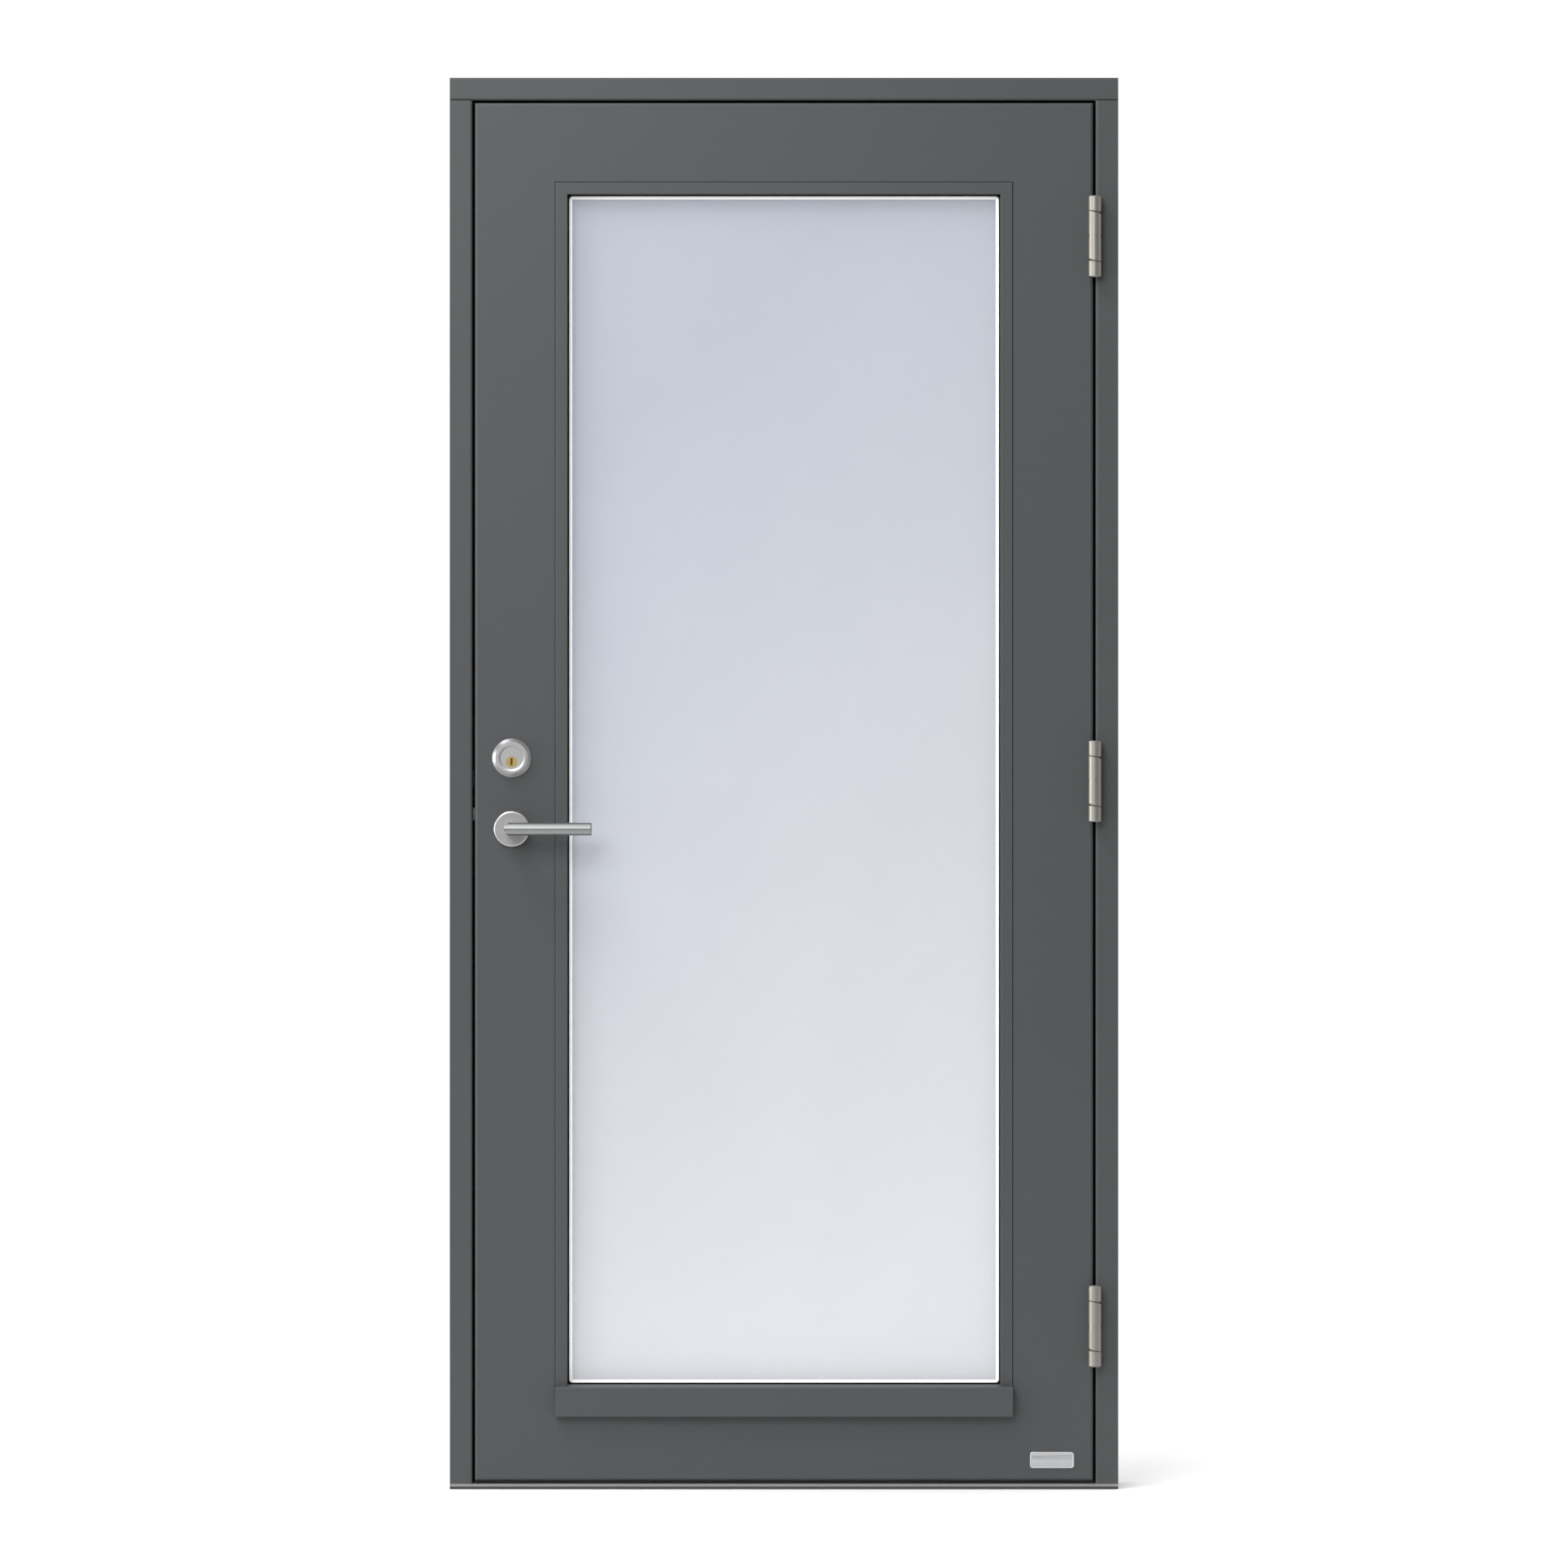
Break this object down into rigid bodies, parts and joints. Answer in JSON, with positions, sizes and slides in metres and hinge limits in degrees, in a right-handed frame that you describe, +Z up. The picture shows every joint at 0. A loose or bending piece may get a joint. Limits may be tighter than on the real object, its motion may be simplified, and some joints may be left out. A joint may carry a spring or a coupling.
{
  "type": "glazed entrance door with frame",
  "caption": "Outward-opening glazed door in its frame, with mitred lever, round cylinder lock, barrel hinges, glazing beads, weather bar and low threshold.",
  "frame": {"origin": "middle of the threshold's underside", "axes": "+X across the doorway to the right seen from outside, +Y to the inside, +Z up"},
  "size_m": [0.99, 0.185, 2.09],
  "materials": {
    "frame_paint": "satin grey paint",
    "leaf_paint": "satin grey paint",
    "leaf_timber": "laminated timber, edges painted grey",
    "threshold_metal": "matt anodised",
    "threshold_dark": "dark composite",
    "seal_rubber": "black",
    "gasket_rubber": "black",
    "clear_glass": "clear",
    "spacer_bar": "light, matt",
    "edge_seal": "black",
    "block_plastic": "plain",
    "hinge_steel": "satin nickel",
    "bearing_steel": "turned",
    "screw_steel": "zinc plated",
    "lock_steel": "satin",
    "lever_steel": "satin stainless",
    "rose_chrome": "satin chrome",
    "ring_chrome": "polished",
    "plug_brass": "satin",
    "plate_chrome": "polished, bare"
  },
  "bodies": {
    "frame": {"frame_head": "frame_paint", "lock_jamb": "frame_paint", "hinge_jamb": "frame_paint", "threshold_base": "threshold_dark", "threshold_plate": "threshold_metal", "frame_seal": "seal_rubber", "strike_plate": "lock_steel", "strike_screws": "screw_steel", "frame_hinge_bottom": "hinge_steel", "frame_hinge_middle": "hinge_steel", "frame_hinge_top": "hinge_steel", "frame_hinge_screws": "screw_steel", "hinge_pins": "bearing_steel", "hinge_bearing_rings": "bearing_steel"},
    "leaf": {"outer_skin": "leaf_paint", "inner_skin": "leaf_paint", "weather_bar": "leaf_paint", "outer_bead_top": "leaf_paint", "outer_bead_lock_side": "leaf_paint", "outer_bead_hinge_side": "leaf_paint", "inner_bead_top": "leaf_paint", "inner_bead_bottom": "leaf_paint", "inner_bead_lock_side": "leaf_paint", "inner_bead_hinge_side": "leaf_paint", "lock_stile": "leaf_timber", "hinge_stile": "leaf_timber", "top_rail": "leaf_timber", "bottom_rail": "leaf_timber", "outer_gasket": "gasket_rubber", "inner_gasket": "gasket_rubber", "outer_pane": "clear_glass", "middle_pane": "clear_glass", "inner_pane": "clear_glass", "outer_spacer": "spacer_bar", "inner_spacer": "spacer_bar", "glass_edge_seals": "edge_seal", "setting_blocks": "block_plastic", "leaf_hinge_bottom": "hinge_steel", "leaf_hinge_middle": "hinge_steel", "leaf_hinge_top": "hinge_steel", "leaf_hinge_screws": "screw_steel", "face_plate_screws": "screw_steel", "lock_case": "lock_steel", "lock_face_plate": "lock_steel", "outer_rose": "rose_chrome", "inner_rose": "rose_chrome", "turn_rose": "rose_chrome", "cylinder_ring": "ring_chrome", "cylinder_body": "ring_chrome", "foot_plate": "plate_chrome"},
    "handle_set": {"outer_lever": "lever_steel", "inner_lever": "lever_steel", "lever_spindle": "lock_steel", "lock_hub": "lock_steel"},
    "latch": {"latch_bolt": "lock_steel"},
    "bolt": {"dead_bolt": "lock_steel"},
    "turn": {"thumb_turn": "rose_chrome"},
    "plug": {"key_plug": "plug_brass"}
  },
  "joints": [
    {"name": "leaf_swing", "type": "hinge", "parent": "frame", "child": "leaf", "pos_m": [0.45975, -0.063, 1.048], "axis": [0, 0, 1], "range_deg": [0, 175]},
    {"name": "handle_turn", "type": "hinge", "parent": "leaf", "child": "handle_set", "pos_m": [-0.403, 0, 0.9775], "axis": [0, 1, 0], "range_deg": [0, 45], "stiffness_Nm_per_rad": 2, "springref_deg": -20.05},
    {"name": "latch_slide", "type": "slide", "parent": "leaf", "child": "latch", "axis": [1, 0, 0], "range_m": [0, 0.012]},
    {"name": "thumb_turn_spin", "type": "hinge", "parent": "leaf", "child": "turn", "pos_m": [-0.403, 0, 1.0825], "axis": [0, 1, 0], "range_deg": [0, 90]},
    {"name": "bolt_slide", "type": "slide", "parent": "leaf", "child": "bolt", "axis": [-1, 0, 0], "range_m": [0, 0.02]},
    {"name": "key_turn", "type": "hinge", "parent": "leaf", "child": "plug", "pos_m": [-0.403, 0, 1.0768], "axis": [0, 1, 0], "range_deg": [-90, 90]}
  ],
  "couplings": [
    {"joint": "latch_slide", "follows": "handle_turn", "m_per_rad": 0.015},
    {"joint": "bolt_slide", "follows": "thumb_turn_spin", "m_per_rad": 0.0127}
  ]
}
